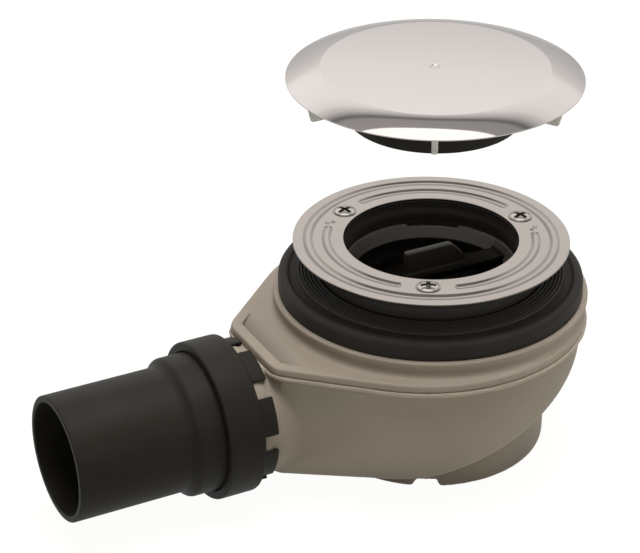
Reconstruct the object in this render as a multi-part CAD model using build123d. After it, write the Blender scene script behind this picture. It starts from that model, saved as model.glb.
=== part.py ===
from build123d import *
from math import cos, radians, sin, sqrt, tan
import os

# A low shower trap for a tray with a round waste hole: two welded shells, a removable dip tube,
# a clamping flange, a plug-on outlet and a lift-off cover, shown with the cover taken off.
# Millimetres. The origin is on the inlet axis in the plane of the feet.
# +Z is up, and the outlet runs along -X.

# Heights of the main interfaces above the feet
flange_height = 88.0
lip_height = 66.6
seam_height = 56.8
outlet_height = 32.0
cover_lift = 61.9

# Clearances
slip_gap = 0.3
seat_gap = 0.2
push_gap = 0.05

# Shells
wall = 2.6
body_shift = 3.2
plate_shift = 4.2
bowl_radius = 63.4
bowl_curve = 71.6
bowl_curve_height = 48.3
floor_height = 5.0
floor_slope = 0.5
outlet_floor_slope = 0.075
floor_mid_height = 20.0
plate_radius = 67.2
plate_edge = 3.0
weld_flange = 2.1
nose_reach = 81.5
nose_radius = 66.2
nose_angle = 42.6
throat_angle = 30.0
nose_corner = 5.0
nose_border = 6.0
pocket_start = 67.6
pocket_fall = 0.25
locating_step = 2.0
neck_wall_radius = 62.3
neck_wall = 3.0
flare_radius = 3.1
lip_radius = 63.2
lip_edge = 2.0
lip_plate = 2.7
edge_round = 0.8

# Well, feet and the outlet neck of the lower shell
well_radius = 47.6
well_wall = 2.4
well_floor_height = 5.0
overflow_height = 58.0
foot_width = 3.6
foot_round = 2.0
foot_notch_angle = 10.0
foot_notch_height = 4.2
foot_notch_slant = 20.0
foot_count = 3
body_setback = 3.5
body_front = nose_reach - body_setback
neck_radius = 26.6
neck_bore_radius = 21.8
neck_length = 12.0
neck_end = nose_reach + neck_length
neck_bead_radius = 27.5
neck_bead_width = 4.0
neck_bead_setback = 9.0
neck_bead_place = neck_end - neck_bead_setback
socket_radius = 25.0
socket_depth = 8.5

# Inlet sleeve with its screw bosses
sleeve_radius = 45.0
sleeve_mouth_radius = 34.9
sleeve_seat_height = 69.0
sleeve_throat_radius = 29.5
sleeve_throat_length = 9.0
sleeve_foot_height = sleeve_seat_height - sleeve_throat_length
sleeve_shoulder_radius = 48.5
sleeve_shoulder = 2.0
sleeve_core_outer = 42.6
sleeve_core_inner = 36.4
sleeve_core_top = 75.0

# Tray seal
seal_radius = 61.1
seal_height = 7.3
seal_land_radius = 57.5
seal_valley_drop = 1.0
seal_bed_drop = 0.4
seal_bed_slope = 0.22
seal_rib_first = 53.6
seal_rib_pitch = 1.3
seal_rib_height = 0.9
seal_rib_count = 6

# Flange ring, its gasket, screws and threaded inserts
flange_radius = 55.1
flange_hole_radius = 34.9
flange_sheet = 1.0
groove_depth = 0.4
outer_groove_inner = 47.0
outer_groove_outer = 51.2
inner_groove_inner = 39.8
inner_groove_outer = 43.6
inner_groove_gap = 14.0
gasket_radius = 53.4
gasket_thick = 2.0
screw_count = 3
screw_circle = 41.05
screw_turn = -1.4
screw_head_radius = 4.3
screw_top_radius = 3.4
screw_head_height = 1.6
screw_dimple_radius = 5.1
screw_radius = 2.0
screw_length = 9.5
cross_width = 1.1
cross_length = 5.0
cross_depth = 1.3
insert_radius = 3.2
insert_length = 9.0

# Dip tube
dip_rim_edge = 0.6
rim_gap_width = 21.7
rim_gap_depth = 1.2
rim_gap_count = 3
funnel_radius = 31.0
funnel_rise = 2.5
dip_radius = 27.0
dip_wall = 2.0
dip_foot_height = 13.0
grip_length = 26.5
grip_shift = 1.35
grip_thick = 3.2
grip_height = 84.0
grip_chamfer = 5.6
bridge_rise = 3.5
bridge_height = sleeve_seat_height + bridge_rise
bridge_width = 9.0
bridge_thick = 3.0
o_ring_drop = 5.5
o_ring_height = sleeve_seat_height - o_ring_drop
o_ring_section = 1.2

# Outlet: seal, snap ring and spigot, measured along the outlet axis from the inlet axis
pipe_radius = 25.0
pipe_wall = 2.6
pipe_chamfer = 0.6
bulge_radius = 27.8
collar_radius = 29.8
spigot_nose_radius = 23.6
spigot_nose_length = 7.5
lip_seal_width = 4.0
ring_radius = 31.7
ring_lip = 3.3
ring_wall = 1.2
ring_back = 2.0
finger_radius = 28.8
finger_wall = 1.0
finger_hook = 1.8
finger_slot_angle = 13.5
finger_count = 8
finger_clearance = 0.8
finger_tip = nose_reach + finger_clearance
finger_length = 7.0
ring_shoulder = finger_tip + finger_length
ring_overhang = 10.7
ring_front = neck_end + ring_overhang
bulge_length = 12.9
bulge_end = ring_front + bulge_length
pipe_length = 46.4
outlet_reach = bulge_end + pipe_length

# Cover, its carrier and its collar, with heights from the cover's rim
cover_radius = 57.6
cover_rise = 4.9
cover_plateau = 44.4
cover_crown = 0.3
cover_sheet = 1.0
cover_rim_edge = 0.5
cover_bend = 16.0
cover_stand = 7.2
carrier_radius = 40.0
carrier_plate = 1.6
rib_count = 6
rib_thick = 2.3
rib_foot_radius = 53.6
rib_top_radius = 55.2
rib_step_radius = 47.0
rib_step = 3.0
hoop_radius = 33.8
hoop_wall = 2.0
hoop_drop = 16.4
hoop_height = 7.8
leg_count = 3
leg_wall = 0.6
leg_foot_drop = 0.3
hoop_room = 1.8

# Room past the model for cuts that run right through
far = 200.0


def section(points, rounds=None):
    """A flat outline through (radius, height) points; rounds gives some corners a radius, by number."""
    rounds = rounds or {}
    starts = []
    tips = []
    ends = []
    for number, point in enumerate(points):
        here = Vector(*point)
        to_last = (Vector(*points[number - 1]) - here).normalized()
        to_next = (Vector(*points[(number + 1) % len(points)]) - here).normalized()
        radius = rounds.get(number, 0)
        half_angle = radians(to_last.get_angle(to_next)) / 2
        reach = radius / tan(half_angle)
        starts.append(here + to_last * reach)
        ends.append(here + to_next * reach)
        middle_way = (to_last + to_next).normalized()
        tips.append(here + middle_way * (radius / sin(half_angle) - radius) if radius else here)
    edges = []
    for number in range(len(points)):
        if number in rounds:
            edges.append(ThreePointArc(starts[number], tips[number], ends[number]))
        edges.append(Line(ends[number], starts[(number + 1) % len(points)]))
    return make_face(edges)


def turned(points, rounds=None, degrees=360):
    """A ring about the inlet axis, from its (radius, height) outline."""
    return revolve(Plane.XZ * section(points, rounds), Axis.Z, degrees)


def along_outlet(points, rounds=None):
    """A ring about the outlet axis, from its (radius, distance from the inlet axis) outline."""
    return Pos(0, 0, outlet_height) * Rot(0, -90, 0) * turned(points, rounds)


def tube(outer, inner, low, high):
    """A plain ring about the inlet axis."""
    return turned([(inner, low), (outer, low), (outer, high), (inner, high)])


def disc(radius, low, high):
    """A plain round slug about the inlet axis."""
    return Pos(0, 0, (low + high) / 2) * Cylinder(radius, high - low)


def around(count, part, first=0.0):
    """Copies of a part spaced evenly about the inlet axis."""
    return [Rot(0, 0, first + 360 * number / count) * part for number in range(count)]


def save(name, *solids):
    """One file for each piece, with like solids together."""
    shape = solids[0]
    if len(solids) > 1:
        shape = Compound(children=[Solid(piece.solid().wrapped) for piece in solids])
    export_step(shape, "parts/" + name + ".step")


def nosed_outline(radius, shift, reach, corner_round):
    """A round with straight sides that run on to a blunt nose towards the outlet, from above."""
    turn = radians(nose_angle)
    touch = Vector(-shift - radius * sin(turn), radius * cos(turn))
    corner = Vector(-reach, touch.Y - (reach + touch.X) * tan(turn))
    near_touch = Vector(touch.X, -touch.Y)
    near_corner = Vector(corner.X, -corner.Y)
    edges = [
        Line(near_corner, corner),
        Line(corner, touch),
        ThreePointArc(touch, Vector(radius - shift, 0), near_touch),
        Line(near_touch, near_corner),
    ]
    face = make_face(edges)
    return fillet(face.vertices().sort_by(Axis.X)[:2], corner_round)


def plate(inset, low, high):
    """A slab with the weld plate's outline, drawn in by inset."""
    corner_round = max(nose_corner - inset, edge_round)
    outline = nosed_outline(plate_radius - inset, plate_shift, nose_reach - inset, corner_round)
    return Pos(0, 0, low) * extrude(outline, high - low)


def bowl_profile(inset, low, back):
    """The bowl's wall in section: upright at the top and curving in below, from back to the wall."""
    def reach(height):
        fall = min(height - bowl_curve_height, 0)
        return bowl_radius - bowl_curve + sqrt((bowl_curve - inset) ** 2 - fall ** 2)
    middle = (low + bowl_curve_height) / 2
    edges = [
        Line((back, low), (reach(low), low)),
        ThreePointArc(
            (reach(low), low),
            (reach(middle), middle),
            (reach(bowl_curve_height), bowl_curve_height),
        ),
        Line((reach(bowl_curve_height), bowl_curve_height), (reach(bowl_curve_height), seam_height)),
        Line((reach(bowl_curve_height), seam_height), (back, seam_height)),
        Line((back, seam_height), (back, low)),
    ]
    return make_face(edges)


def bowl_block(inset):
    """The bowl together with the tapered body that leads from it to the outlet, as one slug."""
    low = floor_height + inset
    bowl = Pos(-body_shift, 0, 0) * revolve(Plane.XZ * bowl_profile(inset, low, 0), Axis.Z)
    profile = bowl_profile(inset, low, -bowl_radius)
    sides = []
    for hand in (1, -1):
        outward = Vector(-sin(radians(throat_angle)), hand * cos(radians(throat_angle)), 0)
        place = Plane(origin=(-body_shift, 0, 0), x_dir=outward, z_dir=outward.cross(Vector(0, 0, 1)))
        sides.append(extrude(place * profile, far, both=True))
    front = -(body_front - inset)
    spread = (body_front - inset - body_shift) / tan(radians(throat_angle))
    wedge = make_face(Polyline((-body_shift, 0), (front, -spread), (front, spread), close=True))
    taper = sides[0] & sides[1] & extrude(wedge, far)
    outline = nosed_outline(nose_radius - inset, body_shift, body_front - inset, nose_corner)
    return (bowl + taper) & extrude(outline, far) & above_floor(inset)


def above_floor(inset):
    """Everything over the channel floor, which climbs gently to the outlet and steeply on the far side."""
    low = floor_height + inset
    lift = floor_mid_height + inset * sqrt(1 + floor_slope ** 2)
    lowest = (low - lift) / floor_slope
    outline = section([
        (-far, low + outlet_floor_slope * (far + lowest)),
        (lowest, low),
        (far, lift + floor_slope * far),
        (far, 2 * far),
        (-far, 2 * far),
    ])
    return extrude(Plane.XZ * outline, far, both=True)


def lower_shell():
    """Bowl, central well, feet and outlet neck, moulded in one piece."""
    solid = bowl_block(0) + plate(0, seam_height - weld_flange, seam_height)
    solid += turned([
        (0, 0),
        (well_radius, 0),
        (well_radius, overflow_height),
        (0, overflow_height),
    ], {1: foot_round})
    neck = along_outlet([
        (0, well_radius),
        (neck_radius, well_radius),
        (neck_radius, neck_bead_place),
        (neck_bead_radius, neck_bead_place),
        (neck_bead_radius, neck_bead_place + neck_bead_width),
        (neck_radius, neck_bead_place + neck_bead_width + neck_bead_radius - neck_radius),
        (neck_radius, neck_end),
        (0, neck_end),
    ])
    under_plate = Pos(-nose_reach / 2, 0, seam_height + far / 2) * Box(nose_reach, far, far)
    solid += neck - under_plate
    channel = bowl_block(wall) - disc(well_radius, 0, far)
    bore = along_outlet([
        (0, well_radius),
        (neck_bore_radius, well_radius),
        (neck_bore_radius, neck_end - socket_depth),
        (socket_radius, neck_end - socket_depth),
        (socket_radius, far),
        (0, far),
    ]) - disc(well_radius, 0, far)
    well_top = well_floor_height + wall
    solid -= channel
    solid -= bore
    solid -= disc(well_radius - well_wall, well_top, far)
    solid -= disc(well_radius - foot_width, -far, well_floor_height)
    for notch in around(foot_count, foot_notch()):
        solid -= notch
    return solid


def foot_notch():
    """One gap in the ring of feet, wider below than above."""
    half_top = well_radius * sin(radians(foot_notch_angle / 2))
    half_low = half_top + foot_notch_height * tan(radians(foot_notch_slant))
    outline = section([
        (-half_low, -foot_notch_height),
        (-half_low, 0),
        (-half_top, foot_notch_height),
        (half_top, foot_notch_height),
        (half_low, 0),
        (half_low, -foot_notch_height),
    ])
    inner = well_radius - foot_width - slip_gap
    return Pos(inner, 0, 0) * extrude(Plane.YZ * outline, well_radius)


def upper_shell():
    """Roof of the trap: the weld plate with its nose, and the short neck with the lip for the tray seal."""
    top = seam_height + plate_edge
    step_low = seam_height - locating_step
    step_inset = plate_radius - bowl_radius + abs(plate_shift - body_shift) + wall + slip_gap
    inner = neck_wall_radius - neck_wall
    flare_out = neck_wall_radius + flare_radius
    lip_low = lip_height - lip_edge
    border = plate(0, seam_height, top)
    border = fillet(border.faces().sort_by(Axis.Z)[-1].edges(), edge_round)
    solid = border + plate(step_inset, step_low, seam_height)
    flare = make_face([
        Line((inner, step_low), (flare_out, step_low)),
        Line((flare_out, step_low), (flare_out, top)),
        ThreePointArc(
            (flare_out, top),
            (flare_out - flare_radius * sin(radians(45)), top + flare_radius * (1 - cos(radians(45)))),
            (neck_wall_radius, top + flare_radius),
        ),
        Line((neck_wall_radius, top + flare_radius), (neck_wall_radius, lip_low)),
        Line((neck_wall_radius, lip_low), (inner, lip_low)),
        Line((inner, lip_low), (inner, step_low)),
    ])
    solid += revolve(Plane.XZ * flare, Axis.Z) & plate(edge_round, seam_height, lip_height)
    lip_hole = sleeve_radius - slip_gap
    solid += turned([
        (lip_hole, lip_height - lip_plate),
        (lip_radius - lip_edge, lip_height - lip_plate),
        (lip_radius, lip_low),
        (lip_radius, lip_height),
        (lip_hole, lip_height),
    ], {3: edge_round})
    ramp = section([
        (-pocket_start, top),
        (-pocket_start, top + plate_edge),
        (-far, top + plate_edge),
        (-far, top - pocket_fall * (far - pocket_start)),
    ])
    pocket = extrude(Plane.XZ * ramp, far, both=True)
    solid -= pocket & plate(nose_border, step_low, top + plate_edge)
    solid -= disc(inner, 0, lip_height - lip_plate)
    solid -= disc(lip_hole, 0, far)
    return solid


def inlet_sleeve():
    """Black throat that stands through the waste hole of the tray and takes the flange screws."""
    top = flange_height - flange_sheet
    shoulder_top = lip_height + sleeve_shoulder
    tail = sleeve_radius - 2 * slip_gap
    solid = turned([
        (sleeve_mouth_radius, top),
        (sleeve_mouth_radius, sleeve_seat_height),
        (sleeve_throat_radius, sleeve_seat_height),
        (sleeve_throat_radius, sleeve_foot_height),
        (tail, sleeve_foot_height),
        (tail, lip_height),
        (sleeve_shoulder_radius, lip_height),
        (sleeve_shoulder_radius, shoulder_top),
        (sleeve_radius, shoulder_top),
        (sleeve_radius, top),
    ])
    solid -= tube(sleeve_core_outer, sleeve_core_inner, 0, sleeve_core_top)
    hole = disc(insert_radius + push_gap, top - insert_length - push_gap, far)
    for boss_hole in around(screw_count, Pos(screw_circle, 0, 0) * hole, screw_turn):
        solid -= boss_hole
    return solid


def tray_seal():
    """Thick rubber ring on the lip, with a ribbed bed that climbs inward where the tray presses on it."""
    top = lip_height + seal_height
    valley = top - seal_valley_drop
    shoulder = sleeve_shoulder_radius + slip_gap
    shoulder_top = lip_height + sleeve_shoulder + slip_gap
    inner = sleeve_radius + slip_gap
    points = [
        (shoulder, lip_height),
        (seal_radius, lip_height),
        (seal_radius, top),
        (seal_land_radius, top),
        (seal_land_radius - seal_valley_drop, valley),
        (seal_rib_first, valley),
    ]
    bed = top - seal_bed_drop
    bed_step = seal_bed_slope * seal_rib_pitch
    for number in range(seal_rib_count):
        outer = seal_rib_first - number * seal_rib_pitch
        foot = bed + number * bed_step
        points.append((outer, foot))
        points.append((outer - seal_rib_pitch / 2, foot + bed_step / 2 + seal_rib_height))
    bed_top = bed + seal_rib_count * bed_step
    points.append((seal_rib_first - seal_rib_count * seal_rib_pitch, bed_top))
    points.append((inner, bed_top))
    points.append((inner, shoulder_top))
    points.append((shoulder, shoulder_top))
    return turned(points, {2: edge_round})


def flange_ring():
    """Pressed stainless ring with a full groove, a broken inner groove and three sunk screw seats."""
    low = flange_height - flange_sheet
    groove = flange_height - groove_depth
    solid = turned([
        (flange_hole_radius, low),
        (flange_radius, low),
        (flange_radius, flange_height),
        (outer_groove_outer, flange_height),
        (outer_groove_outer - groove_depth, groove),
        (outer_groove_inner + groove_depth, groove),
        (outer_groove_inner, flange_height),
        (flange_hole_radius, flange_height),
    ], {2: flange_sheet / 2})
    span = 360 / screw_count - 2 * inner_groove_gap
    slot = turned([
        (inner_groove_inner + groove_depth, groove),
        (inner_groove_outer - groove_depth, groove),
        (inner_groove_outer, flange_height),
        (inner_groove_inner, flange_height),
    ], degrees=span)
    seat = disc(screw_dimple_radius, groove, far) + disc(screw_radius + slip_gap, 0, far)
    for number in range(screw_count):
        turn = screw_turn + 360 * number / screw_count
        solid -= Rot(0, 0, turn + inner_groove_gap) * slot
        solid -= Rot(0, 0, turn) * Pos(screw_circle, 0, 0) * seat
    return solid


def flange_gasket():
    """Flat rubber ring under the flange, which seals on the tray's face."""
    top = flange_height - flange_sheet
    return tube(gasket_radius, sleeve_radius + slip_gap, top - gasket_thick, top)


def flange_screw():
    """Pan-head screw with a cross recess, its thread left plain."""
    seat = flange_height - groove_depth
    head_top = seat + screw_head_height
    solid = turned([
        (0, seat - screw_length),
        (screw_radius, seat - screw_length),
        (screw_radius, seat),
        (screw_head_radius, seat),
        (screw_head_radius, seat + screw_head_height / 2),
        (screw_top_radius, head_top),
        (0, head_top),
    ], {4: edge_round, 5: edge_round})
    for turn in (0, 90):
        arm = Box(cross_length, cross_width, 2 * cross_depth)
        solid -= Pos(0, 0, head_top) * Rot(0, 0, turn) * arm
    return Pos(screw_circle, 0, 0) * solid


def threaded_insert():
    """Brass bush that the sleeve is moulded round, for one flange screw."""
    top = flange_height - flange_sheet
    return Pos(screw_circle, 0, 0) * tube(insert_radius, screw_radius + push_gap, top - insert_length, top)


def dip_tube():
    """Lift-out tube that reaches down into the water of the well, with a funnel and a blade to pull it by."""
    rim_radius = sleeve_mouth_radius - slip_gap
    rim_top = flange_height + seat_gap + cover_stand - hoop_drop - hoop_room
    funnel_height = sleeve_seat_height + funnel_rise
    bore = dip_radius - dip_wall
    solid = turned([
        (bore, dip_foot_height),
        (dip_radius, dip_foot_height),
        (dip_radius, sleeve_seat_height),
        (rim_radius, sleeve_seat_height),
        (rim_radius, rim_top),
        (rim_radius - dip_rim_edge, rim_top),
        (funnel_radius, funnel_height),
        (bore, funnel_height - funnel_radius + bore),
    ])
    gap_length = 2 * (rim_radius - funnel_radius)
    gap = Pos(rim_radius, 0, rim_top) * Box(gap_length, rim_gap_width, 2 * rim_gap_depth)
    for cut in around(rim_gap_count, gap, screw_turn + 180 / screw_count):
        solid -= cut
    bridge = Pos(0, 0, bridge_height) * Box(2 * rim_radius, bridge_width, bridge_thick)
    blade_height = grip_height - bridge_height
    blade = Pos(grip_shift, 0, bridge_height + blade_height / 2) * Box(grip_length, grip_thick, blade_height)
    blade = chamfer(blade.edges().filter_by(Axis.Y).group_by(Axis.Z)[-1].sort_by(Axis.X)[-1], grip_chamfer)
    return solid + (bridge & disc(rim_radius - dip_rim_edge / 2, 0, far)) + blade


def dip_tube_o_ring():
    """Rubber ring that closes the gap between the dip tube and the throat."""
    gap_middle = (dip_radius + sleeve_throat_radius) / 2
    return Pos(0, 0, o_ring_height) * Torus(gap_middle, o_ring_section)


def outlet_seal():
    """Lip seal between the spigot's nose and the socket in the neck."""
    front = neck_end - socket_depth + spigot_nose_length / 2 + lip_seal_width / 2
    return along_outlet([
        (spigot_nose_radius + push_gap, front - lip_seal_width),
        (socket_radius - push_gap, front - lip_seal_width),
        (socket_radius - push_gap, front),
        (spigot_nose_radius + push_gap, front),
    ])


def snap_ring():
    """Ring that holds the spigot to the neck, with sprung fingers that hook over the neck's bead."""
    hole = bulge_radius + seat_gap
    inner = ring_radius - ring_wall
    finger_inner = finger_radius - finger_wall
    hook_inner = neck_radius + slip_gap
    solid = along_outlet([
        (hook_inner, finger_tip),
        (finger_radius, finger_tip),
        (finger_radius, ring_shoulder),
        (ring_radius, ring_shoulder),
        (ring_radius, ring_front),
        (hole, ring_front),
        (hole, ring_front - ring_lip),
        (inner, ring_front - ring_lip),
        (inner, ring_shoulder + ring_back),
        (finger_inner, ring_shoulder + ring_back),
        (finger_inner, finger_tip + finger_hook),
        (hook_inner, finger_tip + finger_hook),
    ], {3: edge_round, 4: 2 * edge_round})
    half_width = finger_radius * sin(radians(finger_slot_angle / 2))
    slot = Pos(0, 0, (ring_shoulder + finger_tip) / 2) * Box(
        4 * finger_radius,
        2 * half_width,
        ring_shoulder - finger_tip,
        align=(Align.MIN, Align.CENTER, Align.CENTER),
    )
    slot += Pos(0, 0, finger_tip) * Box(
        4 * finger_radius, 2 * half_width, finger_hook, align=(Align.MIN, Align.CENTER, Align.CENTER)
    )
    for cut in around(finger_count, slot):
        solid -= Pos(0, 0, outlet_height) * Rot(0, -90, 0) * cut
    return solid


def outlet_spigot():
    """Plain pipe end for the drain, with a collar that the snap ring pulls against the neck."""
    bore = pipe_radius - pipe_wall
    collar_start = neck_end + seat_gap
    collar_end = ring_front - ring_lip - seat_gap
    nose_start = neck_end - spigot_nose_length
    bulge_bore = bulge_radius - pipe_wall
    return along_outlet([
        (neck_bore_radius, nose_start),
        (spigot_nose_radius, nose_start),
        (spigot_nose_radius, collar_start),
        (collar_radius, collar_start),
        (collar_radius, collar_end),
        (bulge_radius, collar_end),
        (bulge_radius, bulge_end - pipe_wall),
        (pipe_radius, bulge_end),
        (pipe_radius, outlet_reach),
        (bore, outlet_reach),
        (bore, bulge_end - pipe_wall),
        (bulge_bore, bulge_end - 2 * pipe_wall),
        (bulge_bore, collar_end),
        (neck_bore_radius, collar_end - bulge_bore + neck_bore_radius),
    ], {6: pipe_wall, 8: pipe_chamfer})


def cover_rim():
    """Height of the cover's rim as it is held over the trap."""
    return flange_height + seat_gap + cover_stand + cover_lift


def cover_flank():
    """How much the cover's flank climbs for each millimetre towards the middle."""
    return (cover_rise - cover_crown - cover_rim_edge) / (cover_radius - cover_plateau)


def cover_fall(radius):
    """Height of the cover's outer face over its rim, on the straight flank."""
    return cover_rim_edge + cover_flank() * (cover_radius - radius)


def cover_plate():
    """Pressed stainless cap: a flat top with a sloping flank and a thin edge."""
    rim = cover_rim()
    shoulder = cover_rise - cover_crown
    return turned([
        (0, rim + cover_rise),
        (cover_plateau, rim + shoulder),
        (cover_radius, rim + cover_rim_edge),
        (cover_radius, rim),
        (cover_radius - (cover_sheet - cover_rim_edge) / cover_flank(), rim),
        (cover_plateau, rim + shoulder - cover_sheet),
        (0, rim + cover_rise - cover_sheet),
    ], {1: cover_bend, 5: cover_bend})


def cover_carrier():
    """Grey moulding under the cap: a plate with ribs that stand on the flange, and legs for the hoop."""
    rim = cover_rim()
    top = rim + cover_rise - cover_crown - cover_sheet - seat_gap
    plate_low = top - carrier_plate
    solid = disc(carrier_radius, plate_low, top)
    leg_inner = hoop_radius - hoop_wall
    leg_low = rim - hoop_drop + hoop_height + push_gap
    leg_side = hoop_radius + push_gap
    leg_outer = leg_side + leg_wall
    leg_foot = rim - hoop_drop - leg_foot_drop
    rib = section([
        (leg_inner, plate_low + seat_gap),
        (leg_inner, leg_low),
        (leg_outer, leg_low),
        (leg_outer, rim - cover_stand + rib_step),
        (rib_step_radius, rim - cover_stand + rib_step),
        (rib_step_radius, rim - cover_stand),
        (rib_foot_radius, rim - cover_stand),
        (rib_top_radius, rim + cover_fall(rib_top_radius) - 2 * cover_sheet),
        (cover_plateau, rim + cover_fall(cover_plateau) - 2 * cover_sheet),
        (carrier_radius - rib_thick, top - seat_gap),
        (carrier_radius - rib_thick, plate_low + seat_gap),
    ])
    blade = extrude(Plane.XZ * rib, rib_thick / 2, both=True)
    for copy in around(rib_count, blade):
        solid += copy
    leg = section([
        (leg_side, leg_foot),
        (leg_outer, leg_foot),
        (leg_outer, leg_low + rib_thick),
        (leg_side, leg_low + rib_thick),
    ])
    for copy in around(leg_count, extrude(Plane.XZ * leg, rib_thick / 2, both=True)):
        solid += copy
    return solid


def cover_collar():
    """Black hoop inside the legs, which drops into the inlet and centres the cover."""
    low = cover_rim() - hoop_drop
    return tube(hoop_radius, hoop_radius - hoop_wall, low, low + hoop_height)


os.makedirs("parts", exist_ok=True)
save("lower_shell", lower_shell())
save("upper_shell", upper_shell())
save("inlet_sleeve", inlet_sleeve())
save("tray_seal", tray_seal())
save("flange_gasket", flange_gasket())
save("flange_ring", flange_ring())
save("threaded_inserts", *around(screw_count, threaded_insert(), screw_turn))
save("flange_screws", *around(screw_count, flange_screw(), screw_turn))
save("dip_tube", dip_tube())
save("dip_tube_o_ring", dip_tube_o_ring())
save("outlet_seal", outlet_seal())
save("outlet_spigot", outlet_spigot())
save("snap_ring", snap_ring())
save("cover_plate", cover_plate())
save("cover_carrier", cover_carrier())
save("cover_collar", cover_collar())
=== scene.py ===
import math
import bmesh
import bpy
from mathutils import Matrix, Vector


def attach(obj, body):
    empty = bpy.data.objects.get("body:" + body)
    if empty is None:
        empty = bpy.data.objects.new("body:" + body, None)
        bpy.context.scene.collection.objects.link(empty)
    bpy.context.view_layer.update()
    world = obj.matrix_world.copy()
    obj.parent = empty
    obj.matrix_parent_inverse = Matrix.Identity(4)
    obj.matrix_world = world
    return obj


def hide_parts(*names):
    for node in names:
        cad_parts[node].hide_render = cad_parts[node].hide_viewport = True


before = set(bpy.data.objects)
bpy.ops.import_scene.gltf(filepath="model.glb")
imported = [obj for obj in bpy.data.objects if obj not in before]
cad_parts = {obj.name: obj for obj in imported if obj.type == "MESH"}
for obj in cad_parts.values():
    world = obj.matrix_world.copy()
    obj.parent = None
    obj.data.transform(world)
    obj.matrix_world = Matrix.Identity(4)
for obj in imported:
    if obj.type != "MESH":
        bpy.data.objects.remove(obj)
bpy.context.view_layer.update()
from types import SimpleNamespace

# The studio: a pale floor under a wide soft lamp, and the camera where the photograph was taken from.
# The floor and the walls look white, and polished metal shows a white window in a grey ceiling.
# The lamps stay at a plain level and aren't mirrored themselves.
floor_size = 6.0
room_white = (1, 1, 0.985, 1)
mirrored_glow = 0.62
straight_gain = 0.48
glow_share = 0.88
camera_place = Vector((-0.4288, -0.7251, 0.5274))
camera_aim = Vector((0.4070, 0.7788, -0.4775))


def placed(name, data):
    """A new object in the scene with this camera, lamp or mesh."""
    made = bpy.data.objects.new(name, data)
    bpy.context.scene.collection.objects.link(made)
    return made


camera = placed("camera", bpy.data.cameras.new("camera"))
camera.data.lens = 134.16
camera.data.sensor_width = 36.0
camera.location = camera_place
camera.rotation_euler = camera_aim.to_track_quat("-Z", "Y").to_euler()
bpy.context.scene.camera = camera
bpy.context.scene.view_settings.view_transform = "Standard"


class Link:
    """A node socket that sums can be written with: each operator adds a Math node to the socket's tree."""

    def __init__(self, socket):
        self.socket = socket
        self.tree = socket.id_data

    @staticmethod
    def node(tree, kind, values=(), output=0, **settings):
        """Adds a node: its settings are set first, then the values or links of its sockets."""
        made = tree.nodes.new(kind)
        for name, setting in settings.items():
            if name != "stops":
                setattr(made, name, setting)
                continue
            elements = made.color_ramp.elements
            while len(elements) < len(setting):
                elements.new(0.5)
            for element, (position, colour) in zip(elements, setting):
                element.position = position
                element.color = colour
        for name, value in dict(values).items():
            if isinstance(value, Link):
                tree.links.new(value.socket, made.inputs[name])
            else:
                made.inputs[name].default_value = value
        return Link(made.outputs[output]) if made.outputs else made

    def math(self, operation, first, second=0.0, third=0.0):
        values = {0: first, 1: second, 2: third}
        return Link.node(self.tree, "ShaderNodeMath", values, operation=operation)

    def __add__(self, other):
        return self.math("ADD", self, other)

    def __radd__(self, other):
        return self.math("ADD", other, self)

    def __sub__(self, other):
        return self.math("SUBTRACT", self, other)

    def __rsub__(self, other):
        return self.math("SUBTRACT", other, self)

    def __mul__(self, other):
        return self.math("MULTIPLY", self, other)

    def __rmul__(self, other):
        return self.math("MULTIPLY", other, self)

    def __truediv__(self, other):
        return self.math("DIVIDE", self, other)

    def __neg__(self):
        return self.math("MULTIPLY", self, -1.0)

    def __abs__(self):
        return self.math("ABSOLUTE", self)

    def root(self):
        return self.math("SQRT", self)

    def least(self, other, blend=0.0):
        """The lesser of two values; where two depths meet, the corner is rounded over blend millimetres."""
        return self.math("SMOOTH_MIN", self, other, blend)

    def most(self, other, blend=0.0):
        """The greater of two values, rounded in the same way."""
        return self.math("SMOOTH_MAX", self, other, blend)

    def ramp(self, low, high):
        """Nothing up to low, all from high on, and an even climb between them."""
        values = {"Value": self, "From Min": low, "From Max": high}
        return Link.node(self.tree, "ShaderNodeMapRange", values)

    def colours(self, stops):
        """A colour that follows a row of (value, colour) stops."""
        return Link.node(self.tree, "ShaderNodeValToRGB", {"Fac": self}, stops=stops)

    def band(self, start, full, fading, gone):
        """All from full to fading, nothing up to start and from gone on, and even slopes between them."""
        return self.ramp(start, full) * (1 - self.ramp(fading, gone))


def ray_kind(tree, kind):
    """One for rays of a kind, and nothing for the others."""
    return Link.node(tree, "ShaderNodeLightPath", output="Is " + kind + " Ray")


def seen_plainly(tree):
    """One for what the camera sees straight, in a mirror or through glass, and nothing for other light."""
    rays = [ray_kind(tree, kind) for kind in ("Camera", "Glossy", "Transmission")]
    return rays[0].most(rays[1]).most(rays[2])


floor_mesh = bpy.data.meshes.new("floor")
half = floor_size / 2
floor_corners = [(-half, -half, 0), (half, -half, 0), (half, half, 0), (-half, half, 0)]
floor_mesh.from_pydata(floor_corners, [], [(0, 1, 2, 3)])
floor = placed("floor", floor_mesh)
floor_paint = bpy.data.materials.new("floor_paint")
floor_paint.use_nodes = True
tree = floor_paint.node_tree
tree.nodes.clear()
paint = Link.node(tree, "ShaderNodeBsdfDiffuse", {"Color": (0.66, 0.67, 0.60, 1)})
straight = ray_kind(tree, "Camera")
level = mirrored_glow + straight_gain * straight
glow = Link.node(tree, "ShaderNodeEmission", {"Color": room_white, "Strength": level})
blend = Link.node(tree, "ShaderNodeMixShader", {0: glow_share * seen_plainly(tree), 1: paint, 2: glow})
Link.node(tree, "ShaderNodeOutputMaterial", {"Surface": blend})
floor_mesh.materials.append(floor_paint)

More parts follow.
